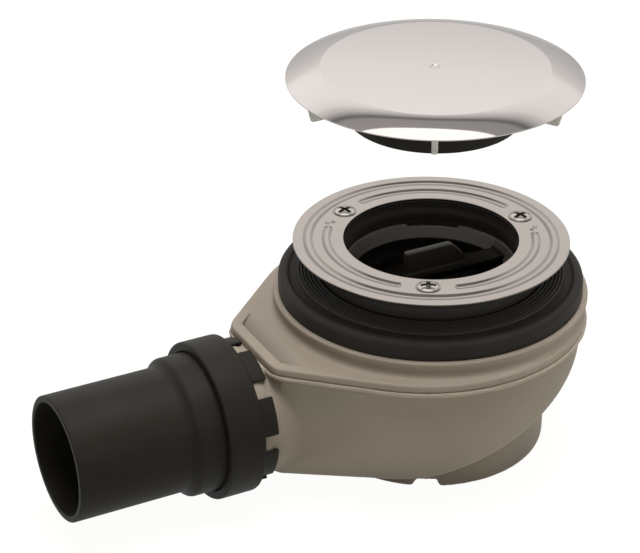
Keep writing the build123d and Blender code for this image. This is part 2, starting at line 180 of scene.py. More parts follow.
sky_light = 0.10
room_levels = [
    (0.000, 0.50), (0.200, 0.60), (0.300, 0.70), (0.357, 0.78), (0.398, 0.93), (0.430, 0.99), (0.500, 1.00),
    (0.620, 0.97), (0.686, 0.88), (0.715, 0.70), (0.735, 0.60), (0.750, 0.48), (0.765, 0.34), (0.779, 0.18),
    (0.790, 0.20), (0.805, 0.34), (0.870, 0.36),
]
band_tilt = 0.04
wall_gain = 1.04
side_fade = 0.12
near_level = 0.85
window_climb = 0.879
window_edge = 0.003
window_level = 1.5
window_fade = 0.35
sky = bpy.data.worlds.new("sky")
bpy.context.scene.world = sky
sky.use_nodes = True
tree = sky.node_tree
tree.nodes.clear()
heading = Link.node(tree, "ShaderNodeTexCoord", output="Generated")
forward = Vector((camera_aim.x, camera_aim.y, 0)).normalized()
ahead = Link.node(tree, "ShaderNodeVectorMath", {0: heading, 1: forward}, "Value", operation="DOT_PRODUCT")
rightward = Vector((forward.y, -forward.x, 0))
aside = Link.node(tree, "ShaderNodeVectorMath", {0: heading, 1: rightward}, "Value", operation="DOT_PRODUCT")
climb = Link.node(tree, "ShaderNodeSeparateXYZ", {0: heading}, "Z") - band_tilt * aside
stops = [(height, (level, level, level, 1)) for height, level in room_levels]
walls = wall_gain * climb.colours(stops)
walls = walls * (1 - side_fade * aside) * (near_level + (1 - near_level) * ahead.ramp(-0.3, 0.1))
window = climb.ramp(window_climb - window_edge, window_climb + window_edge)
mirrored = ray_kind(tree, "Glossy")
plain = sky_light + (1 - sky_light) * seen_plainly(tree)
pane = window_level - window_fade * climb.ramp(0.965, 0.995)
strength = mirrored * (window * pane + (1 - window) * walls) + (1 - mirrored) * plain
glow = Link.node(tree, "ShaderNodeBackground", {"Color": room_white, "Strength": strength})
Link.node(tree, "ShaderNodeOutputWorld", {"Surface": glow})


def soft_lamp(name, place, aim, width, depth, power):
    """A rectangular soft box that points from its place at aim, with its width across the camera's view."""
    lamp = bpy.data.lights.new(name, "AREA")
    lamp.shape = "RECTANGLE"
    lamp.size = width
    lamp.size_y = depth
    lamp.energy = power
    carrier = placed(name, lamp)
    carrier.visible_glossy = False
    away = (Vector(place) - Vector(aim)).normalized()
    across = Vector((camera_aim.y, -camera_aim.x, 0)).normalized()
    across = (across - away * across.dot(away)).normalized()
    turn = Matrix((across, away.cross(across), away)).transposed()
    carrier.matrix_world = Matrix.Translation(place) @ turn.to_4x4()


soft_lamp("top_lamp", (0.045, 0.03, 1.10), (0, 0, 0.06), width=0.90, depth=0.64, power=14.0)
soft_lamp("front_lamp", (-0.9, -0.9, 0.8), (0, 0, 0.06), width=0.8, depth=0.8, power=0.12)
soft_lamp("side_lamp", (1.0, -0.75, 0.25), (0.02, 0, 0.03), width=0.6, depth=0.6, power=1.6)

# Lower shell: the beige moulding with the bowl, the well, the feet and the outlet neck, all in one piece.
# Injection-moulded plastic with a faint grain and smooth blends where its forms meet.
# The flat flange round its top is welded to the upper shell.
beige_colour = (0.40, 0.335, 0.265)


def coordinates(place):
    """The three coordinates of a place, in millimetres."""
    return [1000 * Link.node(place.tree, "ShaderNodeSeparateXYZ", {0: place}, axis) for axis in range(3)]


def shape_tree(name, sizes):
    """An empty shape tree with a named input for each size, their links and a point's coordinates."""
    tree = bpy.data.node_groups.new(name, "GeometryNodeTree")
    tree.interface.new_socket("Geometry", in_out="OUTPUT", socket_type="NodeSocketGeometry")
    for size in sizes:
        tree.interface.new_socket(size, in_out="INPUT", socket_type="NodeSocketFloat")
    source = Link.node(tree, "NodeGroupInput").socket.node
    links = SimpleNamespace(**{size: Link(source.outputs[size]) for size in sizes})
    return tree, links, coordinates(Link.node(tree, "GeometryNodeInputPosition"))


def piece_from_tree(name, tree, shape, material, sizes):
    """Closes a shape tree with its material, runs it once with these sizes and keeps the plain mesh."""
    real = Link.node(tree, "GeometryNodeRealizeInstances", {"Geometry": shape})
    coated = Link.node(tree, "GeometryNodeSetMaterial", {"Geometry": real, "Material": material})
    Link.node(tree, "NodeGroupOutput", {0: coated})
    piece = placed(name, bpy.data.meshes.new(name))
    maker = piece.modifiers.new("shape", "NODES")
    maker.node_group = tree
    for item in tree.interface.items_tree:
        if item.in_out == "INPUT":
            maker[item.identifier] = sizes[item.name]
    made = piece.evaluated_get(bpy.context.evaluated_depsgraph_get())
    mesh = bpy.data.meshes.new_from_object(made)
    piece.modifiers.clear()
    piece.data = mesh
    mesh.name = name
    return piece


def moulded(tree, solid, low, high, steps):
    """The skin of a solid that is given as a depth in millimetres, which is less than nothing inside."""
    values = {
        "Density": -solid,
        "Background": -1.0,
        "Min": [edge / 1000 for edge in low],
        "Max": [edge / 1000 for edge in high],
    }
    for axis, step, start, stop in zip("XYZ", steps, low, high):
        values["Resolution " + axis] = round((stop - start) / step)
    cloud = Link.node(tree, "GeometryNodeVolumeCube", values)
    skin = Link.node(tree, "GeometryNodeVolumeToMesh", {"Volume": cloud, "Threshold": 0.0})
    return Link.node(tree, "GeometryNodeSetShadeSmooth", {"Geometry": skin})


def off_axis(first, second):
    """How far a point lies from an axis, from its two coordinates across it."""
    return (first * first + second * second).root()


def shaded(colour, factor):
    """A colour made lighter or darker, with no transparency."""
    return tuple(factor * part for part in colour) + (1,)


def new_material(name):
    """A material, its shader and the place of each point on the piece that wears it."""
    material = bpy.data.materials.new(name)
    material.use_nodes = True
    place = Link.node(material.node_tree, "ShaderNodeTexCoord", output="Object")
    return material, material.node_tree.nodes["Principled BSDF"], place


def noise(place, scale, detail):
    """Soft random patches between nothing and one."""
    values = {"Vector": place, "Scale": scale, "Detail": detail}
    return Link.node(place.tree, "ShaderNodeTexNoise", values)


def surfaced(shader, tint, rough, height, strength, distance):
    """Gives a shader its colour, its roughness and a bump that follows a height."""
    tree = shader.id_data
    values = {"Strength": strength, "Distance": distance, "Height": height}
    bump = Link.node(tree, "ShaderNodeBump", values)
    for name, link in (("Base Color", tint), ("Roughness", rough), ("Normal", bump)):
        tree.links.new(link.socket, shader.inputs[name])


def plastic(name, colour, clouding, smooth, depth, gloss=0.5):
    """Moulded plastic: a fine even grain, slight clouding from the melt and a satin skin."""
    material, shader, place = new_material(name)
    cloud = noise(place, scale=38.0, detail=4.0)
    grain = noise(place, scale=2600.0, detail=2.0)
    stops = [(0.35, shaded(colour, 1 - clouding)), (0.65, shaded(colour, 1 + clouding))]
    tint = cloud.colours(stops)
    rough = smooth + 0.06 * cloud + 0.08 * grain
    surfaced(shader, tint, rough, grain, strength=depth, distance=0.0002)
    shader.inputs["Specular IOR Level"].default_value = gloss
    return material


def tinted(material, share, colour):
    """Lays a colour over a material's own one, fully where share is one."""
    tree = material.node_tree
    base = tree.nodes["Principled BSDF"].inputs["Base Color"]
    under = Link(base.links[0].from_socket)
    laid = Link.node(tree, "ShaderNodeMix", {0: share, 6: under, 7: colour}, 2, data_type="RGBA")
    tree.links.new(laid.socket, base)


def surface_place(material):
    """The coordinates of a point on the piece that wears a material."""
    return coordinates(Link.node(material.node_tree, "ShaderNodeTexCoord", output="Object"))


# Painted highlight makes the edge of the weld flange lighter than the shell, and painted shade makes the line
# under it darker.
flange_edge_highlight_heights = (54.6, 55.0, 56.5, 56.7)
flange_foot_shade_heights = (53.4, 54.2, 54.4, 54.8)
shell_plastic = plastic("beige_plastic", beige_colour, clouding=0.04, smooth=0.42, depth=0.10)
height = surface_place(shell_plastic)[2]
tinted(shell_plastic, height.band(*flange_edge_highlight_heights), shaded(beige_colour, 1.30))
tinted(shell_plastic, height.band(*flange_foot_shade_heights), shaded(beige_colour, 0.70))
lower_sizes = dict(
    body_shift=3.2,
    plate_shift=4.2,
    bowl_radius=63.4,
    bowl_curve=71.6,
    nose_radius=66.2,
    curve_height=48.3,
    nose_angle=42.6,
    throat_angle=30.0,
    body_front=78.0,
    floor_height=5.0,
    outlet_floor_slope=0.075,
    middle_floor_height=20.0,
    floor_slope=0.5,
    well_radius=47.6,
    well_bore=45.2,
    well_floor=7.6,
    rim_height=58.0,
    foot_bore=44.0,
    foot_hollow=5.0,
    notch_half_width=4.1,
    notch_height=4.2,
    outlet_height=32.0,
    neck_radius=26.6,
    neck_end=93.5,
    bead_radius=27.5,
    neck_bore=21.8,
    socket_radius=25.0,
    socket_start=85.0,
    plate_radius=67.2,
    nose_reach=81.5,
    seam_height=56.8,
    weld_flange=2.1,
)
floor_slant = 1.118
body_drop = 1.7
bead_back = 7.0
bead_half_width = 2.0
bore_lead = 4.0
flange_inset = 0.1
flange_draft = 0.20
notch_slope = 0.36
notch_start = 30.0
notch_turns = (0, 120, 240)


def body_plan(x, y, shift, angle):
    """How far out a point lies on the body's plan: round, with two straight sides towards the outlet."""
    sine = angle.math("SINE", angle * (math.pi / 180))
    cosine = angle.math("COSINE", angle * (math.pi / 180))
    out = abs(y) * cosine - (x + shift) * sine
    along = (x + shift) * cosine + abs(y) * sine
    behind = along.most(0.0)
    return off_axis(out, behind)


tree, size, (x, y, z) = shape_tree("lower_shell", lower_sizes)
throat_plan = body_plan(x, y, size.body_shift, size.throat_angle)
nose_plan = body_plan(x, y, size.body_shift, size.nose_angle)
below = (z - size.curve_height).least(0.0)
reach = throat_plan - size.bowl_radius + size.bowl_curve
bowl = off_axis(reach, below) - size.bowl_curve
bowl = bowl.most(nose_plan - size.nose_radius, 2.0)
body = bowl.most(-x - size.body_front, 2.5)
slope = (size.middle_floor_height + size.floor_slope * x - z) / floor_slant
lowest = (size.floor_height - size.middle_floor_height) / size.floor_slope
floor = size.floor_height + size.outlet_floor_slope * (lowest - x) - z
body = body.most(floor.most(slope, 6.0), 4.0)
body = body.most(z - size.seam_height + body_drop)
turn = off_axis(x, y)
well = (turn - size.well_radius).most(z - size.rim_height).most(-z, 5.0)
solid = body.least(well, 1.6)
drop = z - size.outlet_height
ring = off_axis(y, drop)
neck = (ring - size.neck_radius).most(-x - size.neck_end, 0.6).most(x + size.well_radius)
neck = neck.most((z - size.seam_height + body_drop).least(x + size.nose_reach))
solid = solid.least(neck, 1.6)
bead = (ring - size.bead_radius).most(abs(x + size.neck_end - bead_back) - bead_half_width, 0.6)
solid = solid.least(bead)
flange_plan = body_plan(x, y, size.plate_shift, size.nose_angle) - size.plate_radius
flange_plan = flange_plan.most(-x - size.nose_reach, 5.0)
flange_plan = flange_plan + flange_inset + flange_draft * (z - size.seam_height + size.weld_flange)
half_flange = size.weld_flange / 2
flange = flange_plan.most(abs(z - size.seam_height + half_flange) - half_flange, 0.5)
solid = solid.least(flange, 0.5)
solid = solid.most(-(turn - size.well_bore).most(size.well_floor - z, 4.0))
solid = solid.most(-(turn - size.foot_bore).most(z - size.foot_hollow, 0.6))
solid = solid.most(-(ring - size.neck_bore).most(x + size.well_radius + bore_lead))
solid = solid.most(-(ring - size.socket_radius).most(x + size.socket_start))
for notch_turn in notch_turns:
    cosine = math.cos(math.radians(notch_turn))
    sine = math.sin(math.radians(notch_turn))
    along = x * cosine + y * sine
    across = y * cosine - x * sine
    side = abs(across) - size.notch_half_width - (size.notch_height - z) * notch_slope
    notch = side.most(z - size.notch_height, 1.0).most(notch_start - along)
    solid = solid.most(-notch, 0.5)
skin = moulded(tree, solid, low=(-95, -70, -2), high=(67, 70, 62), steps=(1.16, 1.16, 0.66))
lower_shell = piece_from_tree("lower_shell_moulding", tree, skin, shell_plastic, lower_sizes)
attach(lower_shell, "trap")
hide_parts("lower_shell")

# Upper shell: the roof of the trap, with a raised border round its nose, in the same beige plastic.
# Moulded in one piece and welded to the lower shell along the flange.
# Its short neck carries the lip that the tray seal stands on.
upper_sizes = dict(
    plate_shift=4.2,
    nose_angle=42.6,
    plate_radius=67.2,
    nose_reach=81.5,
    nose_border=6.0,
    seam_height=56.8,
    plate_edge=3.0,
    neck_radius=62.7,
    neck_bore=59.3,
    flare=3.0,
    lip_radius=63.2,
    lip_height=66.6,
    lip_edge=2.2,
    lip_hole=44.7,
    lip_plate=2.7,
    pocket_fall=0.29,
    pocket_start=67.6,
)
plate_inset = 0.80
edge_draft = 0.16
lip_overlap = 0.8
tree, size, (x, y, z) = shape_tree("upper_shell", upper_sizes)
plan = body_plan(x, y, size.plate_shift, size.nose_angle)
turn = off_axis(x, y)
top = size.seam_height + size.plate_edge
plate_plan = (plan - size.plate_radius).most(-x - size.nose_reach, 5.0)
drafted = plate_plan + plate_inset + edge_draft * (z - size.seam_height)
solid = drafted.most(z - top, 1.2).most(size.seam_height - z, 0.4)
flare_out = turn - size.neck_radius - size.flare
flare_up = (z - top - size.flare).least(0.0)
bend = size.flare - off_axis(flare_out, flare_up)
neck = flare_out.most(bend).most(drafted + plate_inset)
neck = neck.most(z - size.lip_height + lip_overlap).most(size.seam_height - z)
solid = solid.least(neck, 0.6)
lip_mid = size.lip_height - size.lip_edge / 2
lip = (turn - size.lip_radius).most(abs(z - lip_mid) - size.lip_edge / 2, 0.7)
solid = solid.least(lip, 0.4)
pocket_floor = top + size.pocket_fall * (x + size.pocket_start)
border_plan = plan - size.plate_radius + size.nose_border
border_plan = border_plan.most(-x - size.nose_reach + size.nose_border, 1.5)
pocket = border_plan.most(pocket_floor - z).most(x + size.pocket_start)
solid = solid.most(-pocket, 0.3)
inside = (turn - size.neck_bore).most(z - size.lip_height + size.lip_plate)
solid = solid.most(-inside).most(size.lip_hole - turn)
skin = moulded(tree, solid, low=(-83, -70, 55.5), high=(67, 70, 68), steps=(0.7, 0.7, 0.4))
# Painted shade darkens the pocket in the nose, and more the deeper it goes.
roof_plastic_painted_shade = plastic("roof_plastic_painted_shade", beige_colour, clouding=0.04, smooth=0.42, depth=0.10)
x, y, z = surface_place(roof_plastic_painted_shade)
nose = math.radians(upper_sizes["nose_angle"])
side = abs(y) * math.cos(nose) - (x + upper_sizes["plate_shift"]) * math.sin(nose)
border_side = upper_sizes["plate_radius"] - upper_sizes["nose_border"]
inside = 1 - side.ramp(border_side - 0.2, border_side)
inside = inside * (x + upper_sizes["nose_reach"] - upper_sizes["nose_border"]).ramp(0.0, 0.2)
inside = inside * (-x - upper_sizes["pocket_start"]).ramp(0.0, 0.5)
roof_top = upper_sizes["seam_height"] + upper_sizes["plate_edge"]
sunk = (roof_top - z).ramp(0.1, 2.3) * (1 - z.ramp(roof_top, roof_top + 0.1))
tinted(roof_plastic_painted_shade, inside * sunk, shaded(beige_colour, 0.50))
upper_shell = piece_from_tree("upper_shell_moulding", tree, skin, roof_plastic_painted_shade, upper_sizes)
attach(upper_shell, "trap")
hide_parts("upper_shell")

# Inlet sleeve: the black throat that stands through the waste hole of the tray, moulded in one piece.
# Its mouth takes the collar of the cover and the rim of the dip tube, which stands on a ledge lower down.
# A low step runs round the mouth, and two narrow slots are cut in it.
black_colour = (0.0205, 0.0175, 0.0140)
black_plastic = plastic("black_plastic", black_colour, clouding=0.10, smooth=0.40, depth=0.12, gloss=0.17)
sleeve_top = 87.0
sleeve_mouth = 34.9
step_top = 83.6
step_foot = 79.2
step_bore = 34.5
step_slope = 2.2
slot_turn = math.radians(148.6)
slot_half = math.radians(1.6)
slot_foot = 80.6
slot_depth = 1.0
sleeve_corners = [
    (44.4, 66.6, 0.0), (48.5, 66.6, 0.3), (48.5, 68.6, 0.4), (45.0, 68.6, 0.3), (45.0, sleeve_top, 0.3),
]


def rounded(corners, arc_steps=5):
    """Points along an outline of (radius, height, rounding) corners in millimetres, each one a short arc."""
    points = []
    for number, (radius, height, rounding) in enumerate(corners):
        here = Vector((radius, height))
        to_last = (Vector(corners[number - 1][:2]) - here).normalized()
        to_next = (Vector(corners[(number + 1) % len(corners)][:2]) - here).normalized()
        if rounding == 0:
            points.append((radius, height))
            continue
        half_angle = to_last.angle(to_next) / 2
        middle = here + (to_last + to_next).normalized() * (rounding / math.sin(half_angle))
        start = here + to_last * (rounding / math.tan(half_angle)) - middle
        stop = here + to_next * (rounding / math.tan(half_angle)) - middle
        first = math.atan2(start.y, start.x)
        sweep = math.remainder(math.atan2(stop.y, stop.x) - first, math.tau)
        for step in range(arc_steps + 1):
            angle = first + sweep * step / arc_steps
            points.append((middle.x + rounding * math.cos(angle), middle.y + rounding * math.sin(angle)))
    return points


def turned(name, outline, steps, material, place=None, sharp=40):
    """A turned piece in millimetres; outline gives the section's (radius, height) points at an angle."""
    shape = bmesh.new()
    rings = []
    for step in range(steps):
        angle = math.tau * step / steps
        ring = []
        for radius, height in outline(angle):
            spot = Vector((radius * math.cos(angle), radius * math.sin(angle), height)) / 1000
            ring.append(shape.verts.new(spot))
        rings.append(ring)
    for ring, next_ring in zip(rings, rings[1:] + rings[:1]):
        edges = zip(ring, ring[1:] + ring[:1], next_ring[1:] + next_ring[:1], next_ring)
        for corners in edges:
            shape.faces.new(corners)
    bmesh.ops.remove_doubles(shape, verts=shape.verts, dist=1e-7)
    bmesh.ops.dissolve_degenerate(shape, edges=shape.edges, dist=1e-8)
    bmesh.ops.recalc_face_normals(shape, faces=shape.faces)
    if place is not None:
        bmesh.ops.transform(shape, matrix=place, verts=shape.verts)
    mesh = bpy.data.meshes.new(name)
    shape.to_mesh(mesh)
    shape.free()
    mesh.shade_smooth()
    mesh.set_sharp_from_angle(angle=math.radians(sharp))
    mesh.materials.append(material)
    return placed(name, mesh)


def sleeve_outline(angle):
    """The sleeve's section: a low step round its mouth, which is cut back in the two slots."""
    off_slot = abs(math.remainder(angle - slot_turn, math.pi))
    cut = slot_depth if off_slot < slot_half else 0.0
    return rounded([
        *sleeve_corners,
        (sleeve_mouth + cut, sleeve_top, 0.4),
        (sleeve_mouth + cut, step_top, 0.3),
        (step_bore + cut, step_top - step_slope, 0.3),
        (step_bore + cut, slot_foot, 0.0),
        (step_bore, slot_foot - 0.1, 0.0),
        (step_bore, step_foot, 0.2),
        (sleeve_mouth, step_foot, 0.1),
        (sleeve_mouth, 69.0, 0.0),
        (29.5, 69.0, 0.3),
        (29.5, 60.0, 0.3),
        (36.4, 60.0, 0.3),
        (36.4, 75.0, 0.3),
        (42.6, 75.0, 0.3),
        (42.6, 60.0, 0.3),
        (44.4, 60.0, 0.3),
    ])


# Painted light makes the sleeve paler up to just under its mouth, where it lies in shade.
throat_painted_light = (0.062, 0.054, 0.044, 1)
throat_end = (84.5, 86.5)
sleeve_plastic = plastic("sleeve_plastic", black_colour, clouding=0.10, smooth=0.36, depth=0.12, gloss=0.45)
height = surface_place(sleeve_plastic)[2]
tinted(sleeve_plastic, 1 - height.ramp(*throat_end), throat_painted_light)
inlet_sleeve = turned("inlet_sleeve_moulding", sleeve_outline, 360, sleeve_plastic)
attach(inlet_sleeve, "trap")
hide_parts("inlet_sleeve")

# Tray seal: a thick rubber ring that stands on the lip, with a ribbed bed behind a shallow valley.
# Moulded rubber, matt, with a dusty bloom; the bed climbs inward, and the tray presses on its ribs.
seal_radius = 61.1
seal_foot = 66.6
seal_top = 73.9
land_bore = 57.5
valley_drop = 1.0
bed = 73.5
bed_slope = 0.22
rib_first = 53.6
rib_pitch = 1.3
rib_height = 0.9
rib_count = 6
crest_half_width = 0.12
rubber_colour = (0.0225, 0.0190, 0.0155)
crest_highlight_colour = (0.070, 0.062, 0.053, 1)
valley_shade_colour = (0.009, 0.008, 0.007, 1)
valley_shade_share = 0.6


def rubber(name, colour, bloom):
    """Moulded rubber: matt, with a dusty bloom in soft patches and a fine skin."""
    material, shader, place = new_material(name)
    patch = noise(place, scale=55.0, detail=5.0)
    skin = noise(place, scale=1700.0, detail=3.0)
    stops = [(0.35, shaded(colour, 1.0)), (0.70, shaded(colour, 1.0 + bloom))]
    tint = patch.colours(stops)
    rough = 0.50 + 0.10 * patch + 0.08 * skin
    surfaced(shader, tint, rough, skin, strength=0.15, distance=0.0002)
    shader.inputs["Specular IOR Level"].default_value = 0.24
    return material


# Painted highlight makes the crest of each rib paler, and painted shade darkens the valley in front of the
# ribs.
seal_rubber = rubber("seal_rubber", rubber_colour, bloom=0.35)
ribbed_rubber = rubber("ribbed_rubber", rubber_colour, bloom=0.35)
x, y, z = surface_place(ribbed_rubber)
out = off_axis(x, y)
over_bed = z - bed - bed_slope * (rib_first - out)
crest_highlight = over_bed.ramp(0.2, 0.8) * (1 - out.ramp(rib_first, rib_first + 0.3))
tinted(ribbed_rubber, crest_highlight, crest_highlight_colour)
valley = out.band(rib_first - 0.1, rib_first + 0.1, land_bore, land_bore + 0.3)
valley = valley * (1 - z.ramp(seal_top - 0.5, seal_top))
tinted(ribbed_rubber, valley_shade_share * valley, valley_shade_colour)
seal_corners = [
    (48.8, seal_foot, 0.0), (seal_radius, seal_foot, 0.3), (seal_radius, seal_top, 2.3),
    (land_bore, seal_top, 1.4), (land_bore - valley_drop, seal_top - valley_drop, 1.4),
    (rib_first, seal_top - valley_drop, 0.2),
]
bed_step = bed_slope * rib_pitch
for number in range(rib_count):
    outer = rib_first - number * rib_pitch
    foot = bed + number * bed_step
    crest = foot + bed_step / 2 + rib_height
    seal_corners.append((outer, foot, 0.1))
    seal_corners.append((outer - rib_pitch / 2 + crest_half_width, crest, 0.15))
    seal_corners.append((outer - rib_pitch / 2 - crest_half_width, crest, 0.15))
bed_top = bed + rib_count * bed_step
seal_corners += [
    (rib_first - rib_count * rib_pitch, bed_top, 0.1),
    (45.3, bed_top, 0.3), (45.3, 68.9, 0.0), (48.8, 68.9, 0.0),
]
seal_points = rounded(seal_corners, arc_steps=4)
tray_seal = turned("tray_seal_rubber", lambda angle: seal_points, 320, ribbed_rubber, sharp=60)
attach(tray_seal, "trap")
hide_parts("tray_seal")

# Flange gasket: a flat ring under the steel flange, which seals on the tray's face.
# Cut from rubber sheet and held by the pull of the flange screws.
gasket_points = rounded([(45.3, 85.0, 0.3), (53.4, 85.0, 0.5), (53.4, 87.0, 0.3), (45.3, 87.0, 0.3)])
flange_gasket = turned("flange_gasket_rubber", lambda angle: gasket_points, 240, seal_rubber)
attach(flange_gasket, "trap")
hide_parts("flange_gasket")

# Flange ring: a pressed ring with a full outer groove, a broken inner one and three sunk screw seats.
# Stainless sheet with a fine turned grain and a rolled edge.
# Its screws clamp the tray between its gasket and the seal.
flange_hole = 34.9
flange_radius = 55.1
flange_low = 87.0
flange_top = 88.0
groove_depth = 0.46
outer_groove = (46.4, 51.8)
inner_groove = (39.3, 44.1)
groove_gap = math.radians(14.0)
long_gap = math.radians(20.0)
punch_turns = (math.radians(134.4), math.radians(-16.6))
punch_circle = 42.1
punch_lead = 0.9
punch_stretch = 1.3
punch_depths = 2.0
screw_circle = 41.05
screw_turn = math.radians(-1.4)
screw_pitch = math.tau / 3
seat_radius = 5.0
seat_wall = 0.6
seat_depth = 0.36
groove_end = 1.2
edge_round = 0.25
low_bevel = 0.2
face_step = 0.19
wall_shade = 0.40
edge_shade = 0.95
punch_shade = 0.8
groove_shadow = (0.05, 0.042, 0.036, 1)


def eased(value, low, high):
    """A soft step from nothing at low to one at high."""
    share = min(max((value - low) / (high - low), 0.0), 1.0)
    return share * share * (3 - 2 * share)


def groove_share(radius, edges):
    """How much of its full depth a groove has at a radius: two long sloping walls that meet in the middle."""
    wall = (edges[1] - edges[0]) / 2
    return eased(radius, edges[0], edges[0] + wall) * (1 - eased(radius, edges[1] - wall, edges[1]))


def flange_face(radius, angle):
    """Height of the ring's upper face."""
    from_screw = math.remainder(angle - screw_turn, screw_pitch)
    start = groove_gap
    punched = 0.0
    for punch in punch_turns:
        turn = math.remainder(angle - punch, math.tau)
        if abs(turn) < long_gap - groove_gap:
            start = long_gap
        for lead in (-punch_lead, punch_lead):
            away = math.hypot(radius - punch_circle + lead, punch_stretch * (turn * punch_circle + lead))
            punched = max(punched, 1 - eased(away, 0.2, 1.1))
    run = abs(from_screw) - start
    broken = groove_share(radius, inner_groove) * eased(run * screw_circle, 0.0, groove_end)
    sunk = groove_depth * max(groove_share(radius, outer_groove), broken, punch_depths * punched)
    aside = math.hypot(radius * math.cos(from_screw) - screw_circle, radius * math.sin(from_screw))
    seat = seat_depth * (1 - eased(aside, seat_radius - seat_wall, seat_radius))
    return flange_top - max(sunk, seat)


def flange_outline(angle):
    """The ring's section: a flat underside, a rolled edge outside and the pressed face above."""
    points = [
        (flange_hole, flange_low),
        (flange_radius - low_bevel, flange_low),
        (flange_radius, flange_low + low_bevel),
    ]
    edge = flange_radius - edge_round
    for step in range(6):
        lean = math.pi / 2 * step / 6
        height = flange_top - edge_round + edge_round * math.sin(lean)
        points.append((edge + edge_round * math.cos(lean), height))
    radius = edge
    while radius > flange_hole + 0.3:
        points.append((radius, flange_face(radius, angle)))
        radius -= face_step
    points.append((flange_hole + 0.1, flange_top - 0.05))
    points.append((flange_hole, flange_top - edge_round))
    return points


def steel(name, colour, smooth, stretch, depth, dulling):
    """Bare metal with a fine turned grain: streaks that run round the inlet axis, and duller patches."""
    material, shader, place = new_material(name)
    tree = place.tree
    shader.inputs["Metallic"].default_value = 1.0
    x, y, z = [Link.node(tree, "ShaderNodeSeparateXYZ", {0: place}, axis) for axis in range(3)]
    about = x.math("ARCTAN2", y, x)
    stretched = {0: off_axis(x, y) * stretch, 1: about * 3.0, 2: z * 400.0}
    streak = noise(Link.node(tree, "ShaderNodeCombineXYZ", stretched), scale=1.0, detail=3.0)
    patch = noise(place, scale=45.0, detail=3.0)
    stops = [(0.30, shaded(colour, 1 - dulling)), (0.70, shaded(colour, 1 + dulling))]
    tint = (0.6 * streak + 0.4 * patch).colours(stops)
    rough = smooth * (0.85 + 0.2 * streak + 0.1 * patch)
    surfaced(shader, tint, rough, streak, strength=depth, distance=0.0001)
    return material


# Painted shade darkens the walls of the grooves, the outer edge and the punched marks against the face.
flange_colour = (0.470, 0.422, 0.386)
flange_steel = steel("flange_steel", flange_colour, smooth=0.10, stretch=5200.0, depth=0.015, dulling=0.05)
x, y, z = surface_place(flange_steel)
out = off_axis(x, y)
sunk = (flange_top - z).ramp(0.0, groove_depth)
wall = sunk.band(0.03, 0.40, 0.45, 0.95) * out.band(35.4, 35.8, 54.0, 54.4)
edge = out.ramp(flange_radius - edge_round, flange_radius - 0.10)
edge = edge * (1 - z.ramp(flange_top - 0.35, flange_top - 0.15))
punched = (flange_top - z).ramp(groove_depth * 1.04, groove_depth * 1.3) * out.band(38.0, 39.0, 45.0, 46.0)
shade = (wall_shade * wall).most(edge_shade * edge).most(punch_shade * punched)
tinted(flange_steel, shade, groove_shadow)
flange_ring = turned("flange_ring_pressing", flange_outline, 600, flange_steel, sharp=50)
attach(flange_ring, "trap")
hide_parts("flange_ring")

# Threaded inserts: brass bushes that the sleeve is moulded round, one under each flange screw.
# Turned from rod; the flange hides them, and they keep their CAD shape.
brass_colour = (0.70, 0.52, 0.24)


def refinished(node, material):
    """Gives another material to a piece that keeps its CAD shape."""
    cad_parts[node].data.materials.clear()
    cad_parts[node].data.materials.append(material)


brass = steel("turned_brass", brass_colour, smooth=0.28, stretch=6000.0, depth=0.08, dulling=0.06)
refinished("threaded_inserts", brass)

# Flange screws: three stainless pan-head screws with a cross recess, in the sunk seats of the flange ring.
# Cold-headed and bright; the heads are the same, so one is shaped and copied round the ring.
screw_sizes = dict(
    head_radius=4.1,
    head_height=1.6,
    seat_height=87.6,
    shank_radius=2.0,
    shank_length=9.5,
    cross_half_width=0.62,
    cross_half_length=2.9,
    cross_depth=1.1,
    screw_circle=screw_circle,
    first_turn=screw_turn,
    screw_count=3.0,
)
dome_reach = 11.0
thread_pitch = 0.7
thread_depth = 0.12
cross_turn = 0.30
last_cross_turn = 0.785
recess_shade_colour = (0.075, 0.066, 0.058, 1)
screw_steel = steel("screw_steel", (0.60, 0.555, 0.52), smooth=0.16, stretch=3000.0, depth=0.03, dulling=0.05)
# Painted shade darkens the cross recesses of the screw heads.
deep = Link.node(screw_steel.node_tree, "ShaderNodeAttribute", output="Fac", attribute_name="recess")
tinted(screw_steel, deep, recess_shade_colour)
tree, size, (x, y, z) = shape_tree("flange_screws", screw_sizes)
turn = off_axis(x, y)
dome_drop = z - size.head_height + dome_reach
dome = off_axis(turn, dome_drop) - dome_reach
head = dome.most(turn - size.head_radius, 0.6).most(-z, 0.3)
shank = (turn - size.shank_radius).most(-z - size.shank_length, 0.5).most(z - 0.5)
thread_rise = z + thread_pitch * x.math("ARCTAN2", y, x) / math.tau
thread_wave = z.math("SINE", thread_rise * (math.tau / thread_pitch))
shank = shank + thread_depth * thread_wave - thread_depth
solid = head.least(shank, 0.2)
arm_x = (abs(x) - size.cross_half_length).most(abs(y) - size.cross_half_width, 0.2)
arm_y = (abs(y) - size.cross_half_length).most(abs(x) - size.cross_half_width, 0.2)
recess = arm_x.least(arm_y, 0.3).most(size.head_height - size.cross_depth - z, 0.3)
solid = solid.most(-recess, 0.25)
screw = moulded(tree, solid, low=(-5.2, -5.2, -10), high=(5.2, 5.2, 3), steps=(0.16, 0.16, 0.16))
